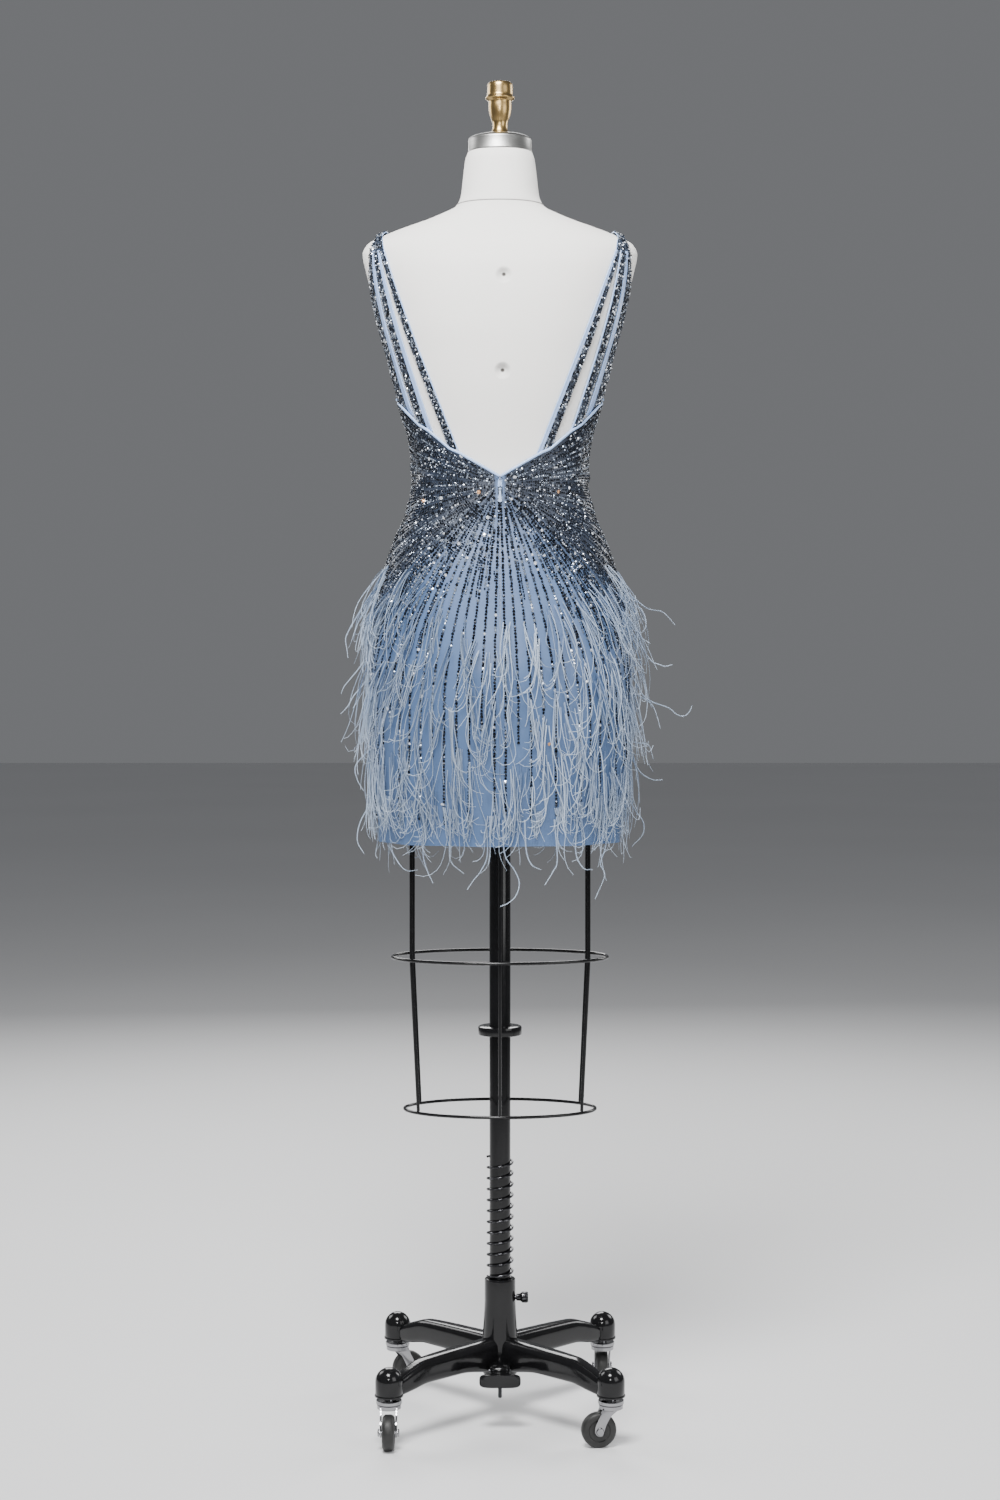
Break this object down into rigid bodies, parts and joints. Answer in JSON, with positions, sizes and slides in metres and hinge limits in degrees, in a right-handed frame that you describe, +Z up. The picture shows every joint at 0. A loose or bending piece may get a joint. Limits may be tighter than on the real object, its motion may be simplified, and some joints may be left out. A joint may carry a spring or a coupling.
{
  "type": "homecoming dress on a wheeled dress form",
  "caption": "Short sheath dress with a beaded bodice, a deep V back, three-strand straps and a feathered skirt, on a limbless dress form with a wire cage and a wheeled cast stand.",
  "frame": {"origin": "on the floor, on the axis of the pole, under the middle of the object", "axes": "+Z up along the pole; the front of the dress faces -Y and its zipped back faces +Y; the wearer's left is at +X"},
  "size_m": [0.46, 0.3604, 1.776],
  "materials": {
    "beaded_satin": "satin",
    "blue_satin": "satin",
    "feather": "matte",
    "linen": "matte",
    "steel": "satin",
    "brass": "polished",
    "black_gloss": "gloss",
    "black_cast": "gloss",
    "black_steel": "satin",
    "chrome": "polished",
    "rubber": "satin"
  },
  "bodies": {
    "base": {"base_casting": "black_cast", "caster_stem_front_left": "chrome", "caster_stem_front_right": "chrome", "caster_stem_rear_left": "chrome", "caster_stem_rear_right": "chrome", "pole_spring": "black_steel", "pedal_pivot": "black_steel"},
    "mast": {"mast_pole": "black_gloss", "mast_collar": "black_gloss"},
    "figure": {"form_torso": "linen", "neck_cap": "steel", "neck_finial": "brass", "dress_front": "beaded_satin", "dress_back_left": "beaded_satin", "dress_back_right": "beaded_satin", "edge_binding_front": "blue_satin", "edge_binding_back_left": "blue_satin", "edge_binding_back_right": "blue_satin", "strap_left_inner": "beaded_satin", "strap_left_middle": "beaded_satin", "strap_left_outer": "beaded_satin", "strap_left_shoulder": "beaded_satin", "strap_right_inner": "beaded_satin", "strap_right_middle": "beaded_satin", "strap_right_outer": "beaded_satin", "strap_right_shoulder": "beaded_satin", "feather_tier_1": "feather", "feather_tier_2": "feather", "feather_tier_3": "feather", "feather_tier_4": "feather", "zip_slider": "steel", "cage_ring_upper": "black_gloss", "cage_ring_lower": "black_gloss", "cage_wire_1": "black_gloss", "cage_wire_2": "black_gloss", "cage_wire_3": "black_gloss", "cage_wire_4": "black_gloss", "cage_wire_5": "black_gloss", "cage_wire_6": "black_gloss"},
    "pull": {"zip_pull": "steel"},
    "clamp": {"clamp_screw": "black_steel"},
    "pedal": {"foot_pedal": "black_cast", "pedal_bolt": "black_steel"},
    "caster_front_left": {"caster_fork_front_left": "chrome", "caster_axle_front_left": "chrome"},
    "caster_front_right": {"caster_fork_front_right": "chrome", "caster_axle_front_right": "chrome"},
    "caster_rear_left": {"caster_fork_rear_left": "chrome", "caster_axle_rear_left": "chrome"},
    "caster_rear_right": {"caster_fork_rear_right": "chrome", "caster_axle_rear_right": "chrome"},
    "wheel_front_left": {"caster_wheel_front_left": "rubber"},
    "wheel_front_right": {"caster_wheel_front_right": "rubber"},
    "wheel_rear_left": {"caster_wheel_rear_left": "rubber"},
    "wheel_rear_right": {"caster_wheel_rear_right": "rubber"}
  },
  "joints": [
    {"name": "mast_slide", "type": "slide", "parent": "base", "child": "mast", "axis": [0, 0, 1], "range_m": [-0.038, 0.04]},
    {"name": "form_turn", "type": "hinge", "parent": "mast", "child": "figure", "pos_m": [0, 0, 0.9], "axis": [0, 0, 1], "continuous": true},
    {"name": "pull_tilt", "type": "hinge", "parent": "figure", "child": "pull", "pos_m": [0, 0.08512, 1.228], "axis": [1, 0, 0], "range_deg": [0, 150]},
    {"name": "clamp_turn", "type": "hinge", "parent": "base", "child": "clamp", "pos_m": [0, 0, 0.156], "axis": [1, 0, 0], "range_deg": [0, 360]},
    {"name": "pedal_press", "type": "hinge", "parent": "base", "child": "pedal", "pos_m": [0, 0.0405, 0.069], "axis": [1, 0, 0], "range_deg": [-10, 0], "stiffness_Nm_per_rad": 3, "springref_deg": 5.73},
    {"name": "swivel_front_left", "type": "hinge", "parent": "base", "child": "caster_front_left", "pos_m": [0.142, 0.142, 0.05], "axis": [0, 0, 1], "continuous": true},
    {"name": "swivel_front_right", "type": "hinge", "parent": "base", "child": "caster_front_right", "pos_m": [-0.142, 0.142, 0.05], "axis": [0, 0, 1], "continuous": true},
    {"name": "swivel_rear_left", "type": "hinge", "parent": "base", "child": "caster_rear_left", "pos_m": [0.142, -0.142, 0.05], "axis": [0, 0, 1], "continuous": true},
    {"name": "swivel_rear_right", "type": "hinge", "parent": "base", "child": "caster_rear_right", "pos_m": [-0.142, -0.142, 0.05], "axis": [0, 0, 1], "continuous": true},
    {"name": "roll_front_left", "type": "hinge", "parent": "caster_front_left", "child": "wheel_front_left", "pos_m": [0.142, 0.158, 0.02222], "axis": [1, 0, 0], "continuous": true},
    {"name": "roll_front_right", "type": "hinge", "parent": "caster_front_right", "child": "wheel_front_right", "pos_m": [-0.12616, 0.14423, 0.02222], "axis": [0.1392, -0.9903, 0], "continuous": true},
    {"name": "roll_rear_left", "type": "hinge", "parent": "caster_rear_left", "child": "wheel_rear_left", "pos_m": [0.1275, -0.14876, 0.02222], "axis": [-0.4226, 0.9063, 0], "continuous": true},
    {"name": "roll_rear_right", "type": "hinge", "parent": "caster_rear_right", "child": "wheel_rear_right", "pos_m": [-0.142, -0.158, 0.02222], "axis": [-1, 0, 0], "continuous": true}
  ]
}
